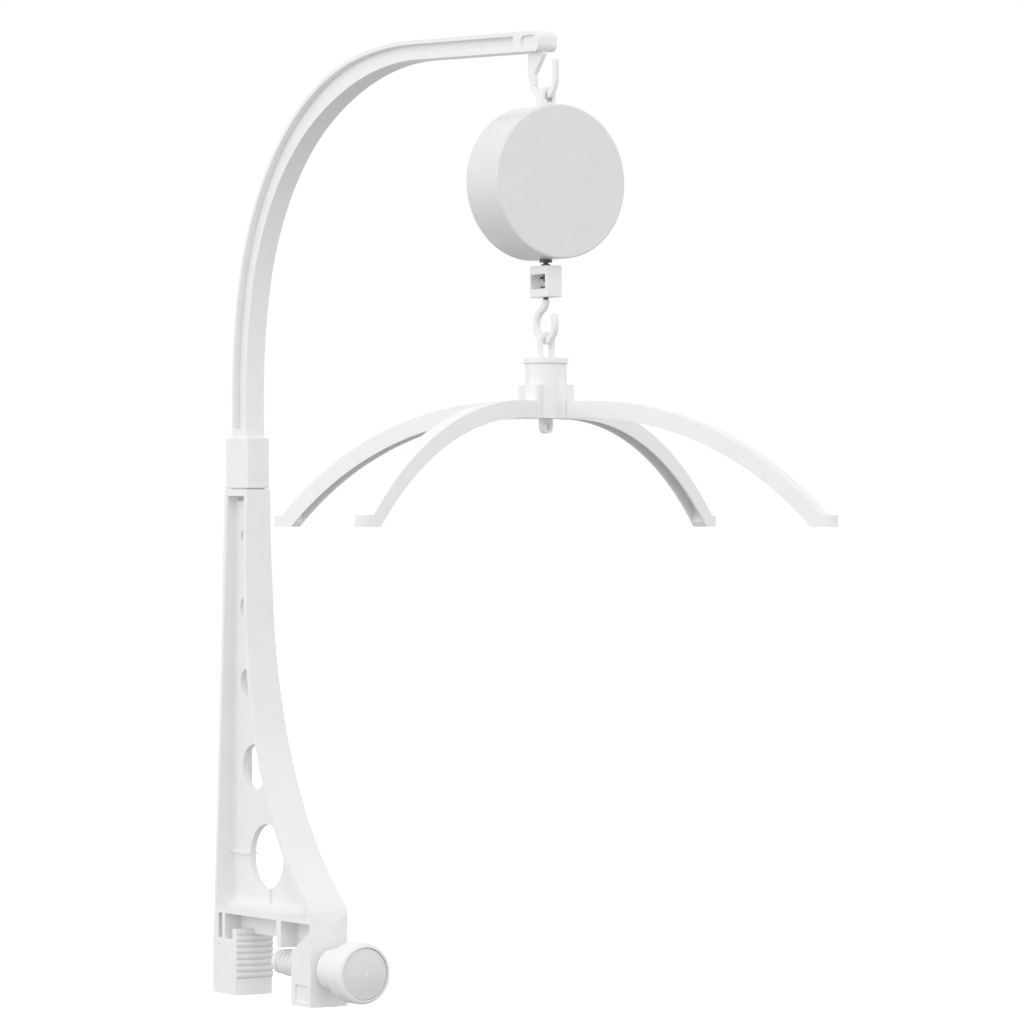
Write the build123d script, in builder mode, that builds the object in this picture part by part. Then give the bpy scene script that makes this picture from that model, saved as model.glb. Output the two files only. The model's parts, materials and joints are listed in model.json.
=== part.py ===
from build123d import *
import math
import os

os.makedirs("parts", exist_ok=True)

# Crib mobile: a rail clamp with a post, a curved arm plugged into it, a wind-up
# music box hung on the arm's hook, and a four-armed toy hanger below it.
# Millimetres. +X is the arm's reach, +Z is up, and Y is the post's width.
# The origin is on the underside of the seat plate, over the crib rail.

# ---------------------------------------------------------------- driving sizes
RUNNING = 0.06            # radial clearance of every shaft that turns in a hole
HANG_X = 332.0            # from the origin to the line the music box hangs on
BOX_Z = 476.0             # height of the music box's centre above the origin

# post and clamp
POST_TOP_Z = 289.0
FOOT_Z = -55.0
POST_TOP_WIDTH = 18.0
FOOT_WIDTH = 28.8
POST_DEPTH = 30.0
POST_REAR_X = -50.6
FOOT_REAR_X = -57.0
FLANGE = 4.0
WEB = 4.4
WEB_FILLET = 1.6
SEAT_FILLET = 8.0         # the web runs out into the seat plate in a wide curve
SWEEP_START_Z = 270.0
SWEEP = ((800, 5.3), (350, 10.7), (262, 20.5), (200, 11.5))   # radius, turn in degrees
SWEEP_RUN = 5.6           # straight run after the sweep
KNEE_R = 24.0
SWEEP_TURN = sum(turn for _, turn in SWEEP)
LEG_BULGE = 2.4           # the leg is rounded across its width
JAW_BULGE = 3.5           # and so is the jaw
TAPER_START_Z = 8.0       # the width narrows above this height
LEG_WALL = 4.0
WEB_HOLES = ((-36.8, 257, 4), (-34.8, 208.5, 7), (-32, 157.5, 9.2), (-22.3, 100, 15.5), (-5.5, 40, 22.0))
STIFFENER = 1.2           # height of the two small ribs beside the lowest hole
STIFFENER_Z = 41.0

# jaw and nut block, either side of the throat
JAW_FACE_X = -26.8
JAW_TOP_Z = -10.0
JAW_CORE_Z = -17.0
THROAT_WEB_Z = -13.0      # lower edge of the web over the throat
JAW_GROOVE_X = -49.0
RIB_PLATE_X = -41.0
NUT_X = 47.5
NUT_TOP_Z = -19.5
NUT_RECESS = 1.2
TONGUE_X = 28.0
TONGUE = 6.0
TONGUE_DROP = 18.0

# ribbed grip pad on the jaw
PAD_PROUD = 1.9
PAD_VALLEY = 0.5          # thickness left between the ribs
PAD_INSET = 0.2
RIB_PITCH = 4.17
RIB_COUNT = 8
PAD_LOW_Z = JAW_TOP_Z - RIB_COUNT * RIB_PITCH

# clamp screw, its swivelling foot, and its knob
SCREW_Z = -29.5
CREST_R = 9.0
CORE_R = 7.3
PITCH = 5.0
SCREW_HOLE_GAP = 0.3
FOOT_FACE_X = 10.0
PRESS_FOOT = 6.0
PRESS_FOOT_R = 8.2
SCREW_NOSE_R = 3.2
KNOB_X = 79.0
KNOB_NECK_R = 14.0
KNOB_HEAD_X = 101.0
KNOB_END_X = 119.0
KNOB_HEAD_R = 20.3
KNOB_FACE_R = 17.3
CAP_RISE = 3.2

# joint sleeve between the post and the arm
SLEEVE_H = 34.6
SLEEVE_GAP = 0.5
PLUG = 17.0

# curved arm
ARM_WIDTH = 14.0
ARM_DEPTH = 19.5
ARM_REAR_X = -44.6
ARM_BEND_Z = 355.3
ARM_SWEEP = ((320, 13.0), (190, 67.0), (320, 12.5))
ARM_INNER_SWEEP = ((320 - ARM_DEPTH, 13.0), (190 - ARM_DEPTH, 49.0), (242.8, 30.5))
ARM_TIP_X = HANG_X + 2.0
TIP_R = 4.5
ARM_FLANGE = 2.5
TIP_POCKET = 1.8
ARM_POCKET = 4.5
ARM_RIDGE_X = HANG_X - 26.3
TIP_POCKET_X = HANG_X - 18.4

# hooks
BAR = 3.6                 # width of a hook's bar in its own plane
BAR_T = 3.2               # thickness across that plane
HOOK_R = 10.8             # prong side
HOOK_WIDE_R = 15.9        # shank side
HOOK_Z = BOX_Z + 53.5     # middle of the bar at the bottom of the bowl
HOOK_TIP = 76.5
ROOT_L = 16.4
ROOT_X = ROOT_L / 2 - HOOK_WIDE_R - BAR / 2

# music box case
CASE_R = 47.5
CASE_DEPTH = 34.9
WALL = 2.2
COVER_T = 2.4
EYE_W = 10.4
EYE_T = 6.7
EYE_TOP = 59.0            # above the case's centre
EYE_SLOT_R = 2.75
EYE_SLOT_LOW = 49.6
CASE_SCREW_Y = 38.5
CASE_SCREW_Z = 66.6
EYE_SLOT_Z = HOOK_Z - BOX_Z
BUSH_R = 3.2              # hole in the case for the output shaft's bush
BUSH_HEAD_R = 4.0

# clockwork: gear sizes
MODULE = 0.8
BARREL_TEETH = 36
DRUM_TEETH = 24
GOVERNOR_TEETH = 12
PINION_TEETH = 12
DRUM_Y = MODULE * (BARREL_TEETH + DRUM_TEETH) / 2
GOVERNOR_Y = -MODULE * (BARREL_TEETH + GOVERNOR_TEETH) / 2
PINION_PITCH_R = MODULE * PINION_TEETH / 2
CROWN_TEETH = 40
CROWN_PITCH_R = MODULE * CROWN_TEETH / 2
CROWN_X = HANG_X + PINION_PITCH_R

# coupling box and lower hook
BOX_TOP = 51.4            # below the music box's centre
BOX_H = 19.4
BOX_L = 19.4
BOX_W = 11.8
BOX_BAR = 5.2
LOW_HOOK_R = 10.2
LOW_HOOK_Z = BOX_Z - 87.4
LOW_HOOK_TURN = 205       # the prong leans back over the bowl
SWIVEL_R = 1.7            # pin that the lower hook turns on
PIN_TAIL = 3.4
PIN_TAIL_R = 1.0
NECK_GAP = 1.4
NECK_LENGTH = 2.6
NECK_R = 2.3
LOW_BAR = 4.4
LOW_BAR_T = 3.8

# toy hanger
HUB_R = 13.0
HUB_TOP_Z = BOX_Z - 111.5
HUB_LOW_Z = BOX_Z - 145.5
SOCKET_TOP_Z = BOX_Z - 125.0
SOCKET_R = 17.7
SOCKET_W = 11.2
SOCKET_CORNER_R = 2.4
TENON = 6.0
FIRST_ARM_DEG = 24.2
SPAR_START_R = 18.1
SPAR_W = 10.0
SPAR_TOP_Z = BOX_Z - 135.0
SPAR_H = 10.5
SPAR_R = 231.0
SPAR_INNER_R = 222.6
SPAR_FLAT = 30.0
SPAR_SKIN = 2.4
SPAR_WALL = 1.2
TAB_END_R = 204.0
TAB_LOW_Z = BOX_Z - 212.0
TOY_HOLE_R = 1.6
EYELET_R = 3.9            # small eye under the hub
EYELET_Z = BOX_Z - 150.8
TOY_HOLE_POS = 198.0


def write(builder, name):
    """Label one finished piece and write it as its own STEP file."""
    builder.part.label = name
    export_step(builder.part, f"parts/{name}.step")


def chain(start, heading, arcs, side):
    """Tangent arcs one after another; side is 1 to turn left and -1 to turn right."""
    for radius, turn in arcs:
        arc = JernArc(start=start, tangent=heading, radius=radius, arc_size=side * turn)
        start = arc @ 1
        heading = arc % 1
    return start, heading


def gear_sketch(teeth, phase=0.0):
    """Spur gear outline with straight-sided teeth, the first one at the angle phase."""
    pitch_r = MODULE * teeth / 2
    root = pitch_r - 0.95 * MODULE
    tip = pitch_r + 0.75 * MODULE
    half_root = 0.30 * math.pi * MODULE
    half_tip = 0.14 * math.pi * MODULE
    Circle(root)
    with PolarLocations(0, teeth, start_angle=phase):
        Polygon((root - 0.3, -half_root), (tip, -half_tip), (tip, half_tip), (root - 0.3, half_root),
                align=None)


# ================================================================ post and clamp
def front_sweep(first_x, extra=0.0):
    """The post's front line, from its top down to the leg; extra moves it inwards."""
    top = Line((first_x - extra, POST_TOP_Z), (first_x - extra, SWEEP_START_Z))
    arcs = [(radius + extra, turn) for radius, turn in SWEEP]
    end, heading = chain(top @ 1, (0, -1), arcs, 1)
    return top, end, heading


def post_outline():
    """Side view of the post and leg, down to the foot."""
    top, end, heading = front_sweep(POST_REAR_X + POST_DEPTH)
    run = Line(end, end + heading * SWEEP_RUN)
    knee = JernArc(start=run @ 1, tangent=heading, radius=KNEE_R, arc_size=-SWEEP_TURN)
    leg_x = (knee @ 1).X
    Polyline(knee @ 1, (leg_x, FOOT_Z), (FOOT_REAR_X, FOOT_Z), (POST_REAR_X, POST_TOP_Z), top @ 0)
    return leg_x


with BuildPart() as post_pocket:
    # the space between the flanges, on one side of the web
    with BuildSketch(Plane.XZ.offset(WEB / 2)):
        with BuildLine():
            inner_top, inner_end, inner_heading = front_sweep(POST_REAR_X + POST_DEPTH, FLANGE)
            low = Line(inner_end, inner_end + inner_heading * 8)
            low_z = (low @ 1).Y - 30
            Polyline(low @ 1, ((low @ 1).X, low_z), (FOOT_REAR_X + FLANGE, low_z),
                     (POST_REAR_X + FLANGE, POST_TOP_Z), inner_top @ 0)
        make_face()
        with Locations((0, (POST_TOP_Z - 0.5) / 2)):
            Rectangle(300, POST_TOP_Z - 2 * FLANGE - 0.5, mode=Mode.INTERSECT)
    extrude(amount=FOOT_WIDTH)
    fillet(post_pocket.faces().sort_by(Axis.Y)[-1].edges().sort_by(Axis.Z)[0], SEAT_FILLET)
    fillet(post_pocket.faces().sort_by(Axis.Y)[-1].edges().sort_by(Axis.X)[0], WEB_FILLET)

with BuildPart() as lower_bracket:
    with BuildSketch(Plane.XZ):
        with BuildLine():
            LEG_X = post_outline()
        make_face()
        # the throat below the rail seat, between the jaw and the leg
        throat_x = (RIB_PLATE_X, LEG_X - LEG_WALL)
        with Locations(((throat_x[0] + throat_x[1]) / 2, FOOT_Z / 2)):
            Rectangle(throat_x[1] - throat_x[0], -FOOT_Z, mode=Mode.SUBTRACT)
    extrude(amount=FOOT_WIDTH / 2, both=True)
    # jaw: a block rounded across the width, with a lip standing above its core
    for face_x, back_x, top_z in ((JAW_FACE_X, -57.5, JAW_CORE_Z), (JAW_FACE_X, JAW_FACE_X - 4, JAW_TOP_Z)):
        with BuildSketch(Plane.XY.offset(FOOT_Z)):
            with BuildLine():
                ThreePointArc((face_x, -FOOT_WIDTH / 2), (face_x + JAW_BULGE, 0), (face_x, FOOT_WIDTH / 2))
                Polyline((face_x, FOOT_WIDTH / 2), (back_x, FOOT_WIDTH / 2), (back_x, -FOOT_WIDTH / 2),
                         (face_x, -FOOT_WIDTH / 2))
            make_face()
        extrude(amount=top_z - FOOT_Z)
    # nut block, with a sloping top
    with BuildSketch(Plane.XZ):
        Polygon((NUT_X, FOOT_Z), (LEG_X - 1, FOOT_Z), (LEG_X - 1, -5.5), (LEG_X - LEG_WALL, -5.5),
                (NUT_X, NUT_TOP_Z), align=None)
    extrude(amount=FOOT_WIDTH / 2, both=True)
    # thin gusset and the tongue that ends it
    with BuildSketch(Plane.XZ):
        Polygon((TONGUE_X, 1), (LEG_X - 1, 1), (LEG_X - 1, -6), (NUT_X + 1, NUT_TOP_Z + 1.5),
                (TONGUE_X, -TONGUE_DROP), align=None)
        # web over the throat, down to the jaw's core
        Polygon((RIB_PLATE_X - 1, 1), (TONGUE_X + 1, 1), (TONGUE_X + 1, THROAT_WEB_Z),
                (JAW_FACE_X - 2, THROAT_WEB_Z), (JAW_FACE_X - 2, JAW_CORE_Z - 1),
                (RIB_PLATE_X - 1, JAW_CORE_Z - 1), align=None)
    extrude(amount=WEB / 2, both=True)
    with BuildSketch(Plane.XZ):
        with Locations((TONGUE_X + TONGUE / 2, -TONGUE_DROP / 2)):
            Rectangle(TONGUE, TONGUE_DROP)
    extrude(amount=FOOT_WIDTH / 2, both=True)
    # pockets in the jaw's root, either side of a web and behind the rib plate
    for side in (-1, 1):
        with Locations((-47.5, side * (FOOT_WIDTH / 4 + 2), JAW_CORE_Z / 2)):
            Box(5, FOOT_WIDTH / 2, -JAW_CORE_Z, mode=Mode.SUBTRACT)
    # sides taper from the foot to the top
    with BuildSketch(Plane.YZ):
        Polygon((-FOOT_WIDTH / 2, FOOT_Z), (FOOT_WIDTH / 2, FOOT_Z), (FOOT_WIDTH / 2, TAPER_START_Z),
                (POST_TOP_WIDTH / 2, POST_TOP_Z), (-POST_TOP_WIDTH / 2, POST_TOP_Z),
                (-FOOT_WIDTH / 2, TAPER_START_Z), align=None)
    extrude(amount=150, both=True, mode=Mode.INTERSECT)
    # the leg is rounded across its width
    with BuildSketch(Plane.XY.offset(FOOT_Z - 1)):
        with BuildLine():
            side_x = LEG_X - LEG_BULGE
            ThreePointArc((side_x, -FOOT_WIDTH / 2), (LEG_X, 0), (side_x, FOOT_WIDTH / 2))
            Polyline((side_x, FOOT_WIDTH / 2), (-80, FOOT_WIDTH / 2), (-80, -FOOT_WIDTH / 2),
                     (side_x, -FOOT_WIDTH / 2))
        make_face()
    extrude(amount=POST_TOP_Z - FOOT_Z + 2, mode=Mode.INTERSECT)
    # flanges and web
    add(post_pocket.part, mode=Mode.SUBTRACT)
    add(mirror(post_pocket.part, about=Plane.XZ, mode=Mode.PRIVATE), mode=Mode.SUBTRACT)
    # small ribs behind the lowest hole and below it
    with Locations((-40, 0, STIFFENER_Z)):
        Box(30, WEB + 2 * STIFFENER, 1.6)
    with Locations((0, 0, FLANGE + 9)):
        Box(2.2, WEB + 2 * STIFFENER, 20)
    # lightening holes
    for hole_x, hole_z, hole_r in WEB_HOLES:
        with BuildSketch(Plane.XZ):
            with Locations((hole_x, hole_z)):
                Circle(hole_r)
        extrude(amount=WEB, both=True, mode=Mode.SUBTRACT)
    for side in (-1, 1):
        # shallow groove down the jaw's side, and a shallow recess in the nut block's side
        with Locations((JAW_GROOVE_X, side * (FOOT_WIDTH / 2 + 1.4), (JAW_CORE_Z + FOOT_Z) / 2)):
            Cylinder(2.2, JAW_CORE_Z - FOOT_Z - 8, mode=Mode.SUBTRACT)
        with BuildSketch(Plane.XZ.offset(side * (FOOT_WIDTH / 2 - NUT_RECESS))):
            with Locations(((NUT_X + LEG_X) / 2, FOOT_Z + 8.5)):
                RectangleRounded(LEG_X - NUT_X - 10, 11.5, 2.5)
        extrude(amount=side * FOOT_WIDTH, mode=Mode.SUBTRACT)
    # window for the arm's latch, under the top plate
    with Locations((POST_REAR_X + POST_DEPTH / 2, 0, POST_TOP_Z - 6.4)):
        Box(19, POST_TOP_WIDTH, 3.0, mode=Mode.SUBTRACT)
    # stub that enters the joint sleeve
    with Locations((ARM_REAR_X + ARM_DEPTH / 2, 0, POST_TOP_Z + PLUG / 2 - 0.5)):
        Box(ARM_DEPTH - 0.1, ARM_WIDTH - 0.1, PLUG)
    # clearance bore for the clamp screw
    with BuildSketch(Plane.YZ.offset(NUT_X - 5)):
        with Locations((0, SCREW_Z)):
            Circle(CREST_R + SCREW_HOLE_GAP)
    extrude(amount=60, mode=Mode.SUBTRACT)
write(lower_bracket, "lower_bracket")

# ---------------------------------------------------------------- jaw grip pad
with BuildPart() as jaw_grip_pad:
    # a strip with rounded ribs, turned about the centre of the jaw's curve
    jaw_r = (FOOT_WIDTH ** 2 / 4 + JAW_BULGE ** 2) / (2 * JAW_BULGE)
    crown_x = JAW_FACE_X + JAW_BULGE
    valley_x = crown_x + PAD_VALLEY
    with BuildSketch(Plane.XZ):
        with BuildLine():
            for rib in range(RIB_COUNT):
                rib_z = PAD_LOW_Z + RIB_PITCH * rib
                ThreePointArc((valley_x, rib_z), (crown_x + PAD_PROUD, rib_z + RIB_PITCH / 2),
                              (valley_x, rib_z + RIB_PITCH))
            Polyline((valley_x, JAW_TOP_Z), (crown_x, JAW_TOP_Z), (crown_x, PAD_LOW_Z), (valley_x, PAD_LOW_Z))
        make_face()
    revolve(axis=Axis((crown_x - jaw_r, 0, 0), (0, 0, 1)), revolution_arc=360)
    with Locations((crown_x, 0, (JAW_TOP_Z + PAD_LOW_Z) / 2)):
        Box(2 * (JAW_BULGE + PAD_PROUD), FOOT_WIDTH - 2 * PAD_INSET, 50, mode=Mode.INTERSECT)
    # slot round the web over the throat
    with Locations((crown_x, 0, JAW_TOP_Z)):
        Box(10, WEB + 0.3, 2 * (JAW_TOP_Z - THROAT_WEB_Z) + 0.4, mode=Mode.SUBTRACT)
write(jaw_grip_pad, "jaw_grip_pad")

# ================================================================ clamp screw
with BuildPart() as clamp_screw:
    thread_x = FOOT_FACE_X + PRESS_FOOT + 0.3
    thread_len = KNOB_X + 3 - thread_x
    with BuildSketch(Plane.YZ.offset(thread_x)):
        with Locations((0, SCREW_Z)):
            Circle(CORE_R)
    extrude(amount=thread_len + 14)
    with BuildLine() as thread_path:
        Helix(PITCH, thread_len - 6, CORE_R - 0.4, center=(thread_x + 2.5, 0, SCREW_Z), direction=(1, 0, 0))
    helix_start = thread_path.line @ 0
    outward = helix_start - Vector(helix_start.X, 0, SCREW_Z)
    ridge_plane = Plane(origin=helix_start, x_dir=outward, z_dir=thread_path.line % 0)
    with BuildSketch(ridge_plane) as ridge:
        ridge_top = CREST_R - CORE_R + 0.4
        Polygon((0, -1.9), (ridge_top, -0.9), (ridge_top, 0.9), (0, 1.9), align=None)
    sweep(ridge.sketch, path=thread_path.line, is_frenet=True)
    with BuildSketch(Plane.YZ.offset(thread_x)):
        with Locations((0, SCREW_Z)):
            Circle(SCREW_NOSE_R)
    extrude(amount=-(PRESS_FOOT - 2))
write(clamp_screw, "clamp_screw")

with BuildPart() as pressure_foot:
    with BuildSketch(Plane.YZ.offset(FOOT_FACE_X)):
        with Locations((0, SCREW_Z)):
            Circle(PRESS_FOOT_R)
    extrude(amount=PRESS_FOOT)
    chamfer(pressure_foot.faces().sort_by(Axis.X)[0].edges(), 0.8)
    with BuildSketch(Plane.YZ.offset(FOOT_FACE_X + PRESS_FOOT)):
        with Locations((0, SCREW_Z)):
            Circle(SCREW_NOSE_R + RUNNING)
    extrude(amount=-(PRESS_FOOT - 1.8), mode=Mode.SUBTRACT)
write(pressure_foot, "pressure_foot")

with BuildPart() as clamp_knob:
    with BuildSketch(Plane.XZ):
        with BuildLine():
            start = (KNOB_X, SCREW_Z)
            Polyline(start, (KNOB_X, SCREW_Z + KNOB_NECK_R - 1), (KNOB_X + 1, SCREW_Z + KNOB_NECK_R),
                     (KNOB_HEAD_X - 2, SCREW_Z + KNOB_NECK_R + 1))
            flare = (KNOB_HEAD_X + 1, SCREW_Z + KNOB_HEAD_R - 1)
            TangentArc((KNOB_HEAD_X - 2, SCREW_Z + KNOB_NECK_R + 1), flare, tangent=(1, 0.3))
            Polyline(flare, (KNOB_HEAD_X + 2.5, SCREW_Z + KNOB_HEAD_R),
                     (KNOB_END_X - 3.5, SCREW_Z + KNOB_HEAD_R))
            TangentArc((KNOB_END_X - 3.5, SCREW_Z + KNOB_HEAD_R), (KNOB_END_X, SCREW_Z + KNOB_FACE_R + 0.4),
                       tangent=(1, 0))
            Polyline((KNOB_END_X, SCREW_Z + KNOB_FACE_R + 0.4), (KNOB_END_X, SCREW_Z + KNOB_FACE_R),
                     (KNOB_END_X - 4, SCREW_Z + KNOB_FACE_R), (KNOB_END_X - 4, SCREW_Z), start)
        make_face()
    revolve(axis=Axis((0, 0, SCREW_Z), (1, 0, 0)), revolution_arc=360)
    with BuildSketch(Plane.YZ.offset(KNOB_X)):
        with Locations((0, SCREW_Z)):
            Circle(CORE_R)
    extrude(amount=17.0, mode=Mode.SUBTRACT)
    with BuildSketch(Plane.YZ.offset(KNOB_X)):
        with Locations((0, SCREW_Z)):
            Circle(CREST_R + 0.1)
    extrude(amount=3.2, mode=Mode.SUBTRACT)
write(clamp_knob, "clamp_knob")

with BuildPart() as knob_cap:
    cap_r = KNOB_FACE_R - 0.25
    dome_r = (cap_r ** 2 + CAP_RISE ** 2) / (2 * CAP_RISE)
    with BuildSketch(Plane.XZ):
        with BuildLine():
            dome_turn = math.degrees(math.asin(cap_r / dome_r))
            dome = CenterArc((KNOB_END_X + 2.0 - dome_r, SCREW_Z), dome_r, 0, dome_turn)
            Polyline(dome @ 1, (KNOB_END_X - 3.95, SCREW_Z + cap_r), (KNOB_END_X - 3.95, SCREW_Z), dome @ 0)
        make_face()
    revolve(axis=Axis((0, 0, SCREW_Z), (1, 0, 0)), revolution_arc=360)
write(knob_cap, "knob_cap")

# ================================================================ sleeve and arm
with BuildPart() as joint_sleeve:
    with BuildSketch(Plane.XY.offset(POST_TOP_Z + SLEEVE_GAP)):
        with Locations((POST_REAR_X + POST_DEPTH / 2, 0)):
            RectangleRounded(POST_DEPTH, POST_TOP_WIDTH, 2.2)
    extrude(amount=SLEEVE_H)
    chamfer(joint_sleeve.faces().sort_by(Axis.Z)[0].edges(), 0.7)
    fillet(joint_sleeve.faces().sort_by(Axis.Z)[-1].edges(), 0.9)
    with BuildSketch(Plane.XY.offset(POST_TOP_Z)):
        with Locations((ARM_REAR_X + ARM_DEPTH / 2, 0)):
            Rectangle(ARM_DEPTH, ARM_WIDTH)
    extrude(amount=SLEEVE_H + 2, mode=Mode.SUBTRACT)
write(joint_sleeve, "joint_sleeve")

ARM_FOOT_Z = POST_TOP_Z + PLUG + 0.2


def arm_outline(inset, foot_z, end_x):
    """Side view of the arm, moved inwards all round by inset."""
    outer_foot = Line((ARM_REAR_X + inset, foot_z), (ARM_REAR_X + inset, ARM_BEND_Z))
    outer_arcs = [(radius - inset, turn) for radius, turn in ARM_SWEEP]
    outer_end, outer_heading = chain(outer_foot @ 1, (0, 1), outer_arcs, -1)
    reach = (end_x - outer_end.X) / outer_heading.X
    outer_tip = outer_end + outer_heading * reach
    inner_foot = Line((ARM_REAR_X + ARM_DEPTH - inset, foot_z), (ARM_REAR_X + ARM_DEPTH - inset, ARM_BEND_Z))
    inner_arcs = [(radius + inset, turn) for radius, turn in ARM_INNER_SWEEP]
    inner_end, inner_heading = chain(inner_foot @ 1, (0, 1), inner_arcs, -1)
    reach = (end_x - inner_end.X) / inner_heading.X
    inner_tip = inner_end + inner_heading * reach
    Polyline(outer_end, outer_tip, inner_tip, inner_end)
    Line(inner_foot @ 0, outer_foot @ 0)
    return outer_tip, inner_tip


with BuildPart() as upper_arm:
    with BuildSketch(Plane.XZ) as arm_side:
        with BuildLine():
            ARM_TIP_TOP, ARM_TIP_LOW = arm_outline(0.05, ARM_FOOT_Z, ARM_TIP_X)
        make_face()
        fillet(arm_side.vertices().sort_by(Axis.X)[-2:], TIP_R)
    extrude(amount=ARM_WIDTH / 2 - 0.05, both=True)
    for side in (-1, 1):
        with BuildSketch(Plane.XZ.offset(side * (ARM_WIDTH / 2 - ARM_POCKET))):
            with BuildLine():
                arm_outline(ARM_FLANGE, POST_TOP_Z + SLEEVE_H + 7, ARM_RIDGE_X)
            make_face()
        extrude(amount=side * ARM_WIDTH, mode=Mode.SUBTRACT)
        pocket_mid_z = (ARM_TIP_TOP.Y + ARM_TIP_LOW.Y) / 2 + 0.5
        with BuildSketch(Plane.XZ.offset(side * (ARM_WIDTH / 2 - TIP_POCKET))):
            with Locations(((TIP_POCKET_X + ARM_TIP_X - 4) / 2, pocket_mid_z)):
                RectangleRounded(ARM_TIP_X - 4 - TIP_POCKET_X, 7.8, 3.4)
        extrude(amount=side * ARM_WIDTH, mode=Mode.SUBTRACT)
    # slot in the underside for the hook's root
    with Locations((HANG_X + ROOT_X, 0, ARM_TIP_LOW.Y)):
        Box(ROOT_L + 0.1, BAR_T + 0.1, 11.0, mode=Mode.SUBTRACT)
write(upper_arm, "upper_arm")

# ---------------------------------------------------------------- arm hook
with BuildPart() as arm_hook:
    with BuildSketch(Plane.XZ):
        with BuildLine():
            shank = Line((HANG_X - HOOK_WIDE_R, BOX_Z + 78), (HANG_X - HOOK_WIDE_R, HOOK_Z + HOOK_WIDE_R))
            bowl = JernArc(start=shank @ 1, tangent=(0, -1), radius=HOOK_WIDE_R, arc_size=90)
            rise = JernArc(start=bowl @ 1, tangent=(1, 0), radius=HOOK_R, arc_size=90)
            Line(rise @ 1, (HANG_X + HOOK_R, BOX_Z + HOOK_TIP - BAR / 2))
        trace(line_width=BAR)
        # rounded end of the prong
        with Locations((HANG_X + HOOK_R, BOX_Z + HOOK_TIP - BAR / 2)):
            Circle(BAR / 2)
    extrude(amount=BAR_T / 2, both=True)
    fillet(arm_hook.faces().sort_by(Axis.Y)[-1].edges(), 0.7)
    fillet(arm_hook.faces().sort_by(Axis.Y)[0].edges(), 0.7)
    # web that spreads the load into the arm, and the root inside the arm's slot
    with BuildSketch(Plane.XZ):
        left_x = HANG_X - HOOK_WIDE_R - BAR / 2
        root_z = ARM_TIP_LOW.Y + 0.2
        Polygon((left_x + 0.2, BOX_Z + 68), (left_x, root_z), (left_x + ROOT_L, root_z),
                (left_x + ROOT_L, BOX_Z + 79.5), (HANG_X - 11.2, BOX_Z + 68), (HANG_X - 10.8, BOX_Z + 61),
                (HANG_X - 14.4, BOX_Z + 61.5), align=None)
    extrude(amount=BAR_T / 2, both=True)
    with Locations((HANG_X + ROOT_X, 0, ARM_TIP_LOW.Y + 2.5)):
        Box(ROOT_L, BAR_T, 5.2)
write(arm_hook, "arm_hook")

# ================================================================ music box case
FRONT_X = HANG_X + CASE_DEPTH / 2
REAR_X = HANG_X - CASE_DEPTH / 2
COVER_X = REAR_X + COVER_T
INSIDE_X = FRONT_X - WALL
PLATE_X = HANG_X - 11.0
PLATE_T = 1.8
POSTS = ((-23, -22), (27, -22), (-23, 26), (27, 26))


def yz(y, z):
    """Place in the sketch plane across the box's axis, from the box's centre."""
    return (y, BOX_Z + z)


with BuildPart() as front_shell:
    with BuildSketch(Plane.YZ.offset(COVER_X)):
        with Locations(yz(0, 0)):
            Circle(CASE_R)
    extrude(amount=FRONT_X - COVER_X)
    fillet(front_shell.faces().sort_by(Axis.X)[-1].edges(), 1.4)
    with BuildSketch(Plane.YZ.offset(COVER_X)):
        with Locations(yz(0, 0)):
            Circle(CASE_R - WALL)
    extrude(amount=INSIDE_X - COVER_X, mode=Mode.SUBTRACT)
    # screw bosses for the rear cover and posts for the clockwork
    with BuildSketch(Plane.YZ.offset(COVER_X + 2.4)):
        with Locations(yz(0, 0)):
            with GridLocations(CASE_SCREW_Y, CASE_SCREW_Z, 2, 2):
                Circle(3.6)
    extrude(amount=INSIDE_X - COVER_X - 2.2)
    with BuildSketch(Plane.YZ.offset(COVER_X)):
        with Locations(yz(0, 0)):
            with GridLocations(CASE_SCREW_Y, CASE_SCREW_Z, 2, 2):
                Circle(1.2)
    extrude(amount=16, mode=Mode.SUBTRACT)
    with BuildSketch(Plane.YZ.offset(PLATE_X + PLATE_T)):
        for post_y, post_z in POSTS:
            with Locations(yz(post_y, post_z)):
                Circle(3.0)
    extrude(amount=INSIDE_X - PLATE_X - PLATE_T + 0.2)
    with BuildSketch(Plane.YZ.offset(PLATE_X + PLATE_T)):
        for post_y, post_z in POSTS:
            with Locations(yz(post_y, post_z)):
                Circle(1.0)
    extrude(amount=10, mode=Mode.SUBTRACT)
    # slot for the hanging eye, at the top, and hole for the shaft's bush, below
    with Locations((HANG_X, 0, BOX_Z + CASE_R)):
        Box(EYE_T + 0.1, EYE_W + 0.1, 12, mode=Mode.SUBTRACT)
    with Locations((HANG_X, 0, BOX_Z - CASE_R)):
        Cylinder(BUSH_R, 14, mode=Mode.SUBTRACT)
write(front_shell, "front_shell")

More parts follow.
